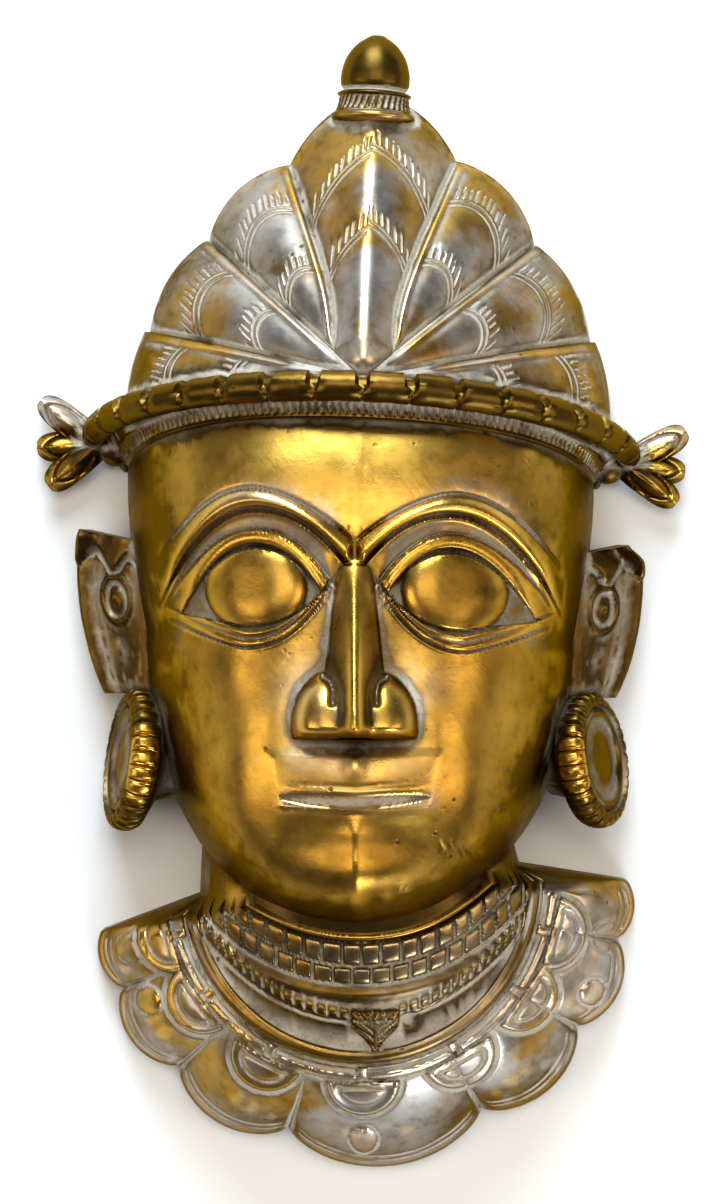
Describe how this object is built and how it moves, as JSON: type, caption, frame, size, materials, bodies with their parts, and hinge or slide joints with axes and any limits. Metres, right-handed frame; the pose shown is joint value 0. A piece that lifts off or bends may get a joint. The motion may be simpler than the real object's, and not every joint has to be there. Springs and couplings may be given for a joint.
{
  "type": "brass deity mask",
  "caption": "Hollow cast brass deity mask with a fanned leaf crown, headband, side ears and discs, and a scalloped collar; open at the back.",
  "frame": {"origin": "centre of the mask's outline, on the flat rim that it lies on", "axes": "+X to the viewer's right, +Y towards the finial, +Z out of the face, away from the surface that it lies on"},
  "size_m": [0.1894, 0.3276, 0.096],
  "materials": {
    "aged_brass": "worn golden high spots, brown patina in the low places, pale deposits in the cut lines"
  },
  "bodies": {
    "root": {"brass_mask": "aged_brass"}
  },
  "joints": []
}
